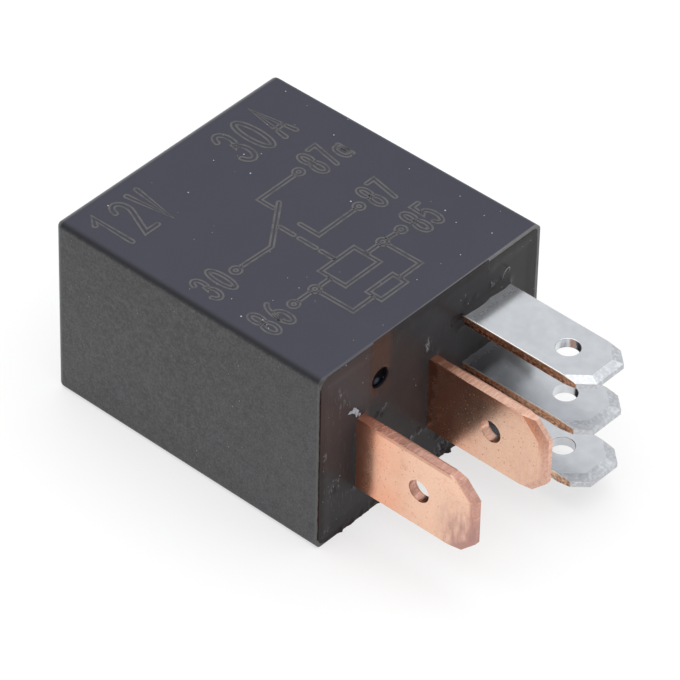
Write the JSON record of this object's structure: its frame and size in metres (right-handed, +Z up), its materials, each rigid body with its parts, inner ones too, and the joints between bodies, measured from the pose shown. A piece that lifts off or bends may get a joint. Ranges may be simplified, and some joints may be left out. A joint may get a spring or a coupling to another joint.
{
  "type": "automotive relay",
  "caption": "Sealed changeover relay with a box cover, flat blade terminals with detent holes, and a sprung hinged armature inside.",
  "frame": {"origin": "middle of the outline, on the large face that the relay lies on", "axes": "+X out along the blade terminals, +Y across the width from blade 30 to blades 85 and 86, +Z up out of the marked face"},
  "size_m": [0.036, 0.0228, 0.0153],
  "materials": {
    "cover_plastic": "fine moulded satin",
    "base_plastic": "moulded",
    "resin": "cast, glossy",
    "bare_copper": "rolled and tumbled",
    "tin_plate": "tin-plated, satin",
    "magnet_iron": "zinc-plated iron",
    "contact_silver": "silver alloy",
    "spring_copper": "copper alloy strip",
    "coil_wire": "enamelled copper",
    "bobbin_plastic": "moulded",
    "resistor_coat": "lacquered"
  },
  "bodies": {
    "relay": {"cover": "cover_plastic", "base": "base_plastic", "resin_seal": "resin", "terminal_30": "bare_copper", "terminal_87": "bare_copper", "terminal_87a": "tin_plate", "terminal_86": "tin_plate", "terminal_85": "tin_plate", "yoke": "magnet_iron", "core": "magnet_iron", "bobbin": "bobbin_plastic", "winding": "coil_wire", "coil_lead_86": "coil_wire", "coil_lead_85": "coil_wire", "yoke_rivets": "magnet_iron", "no_contact": "contact_silver", "nc_contact": "contact_silver", "resistor": "resistor_coat", "resistor_leads": "tin_plate"},
    "armature": {"armature": "magnet_iron", "contact_spring": "spring_copper", "armature_rivets": "magnet_iron", "moving_contact": "contact_silver"}
  },
  "joints": [
    {"name": "armature_swing", "type": "hinge", "parent": "relay", "child": "armature", "pos_m": [-0.0131, -0.0098, 0.00765], "axis": [0, 0, -1], "range_deg": [0, 2.5], "stiffness_Nm_per_rad": 0.05, "springref_deg": -4.58, "deforming": ["contact_spring"]}
  ]
}
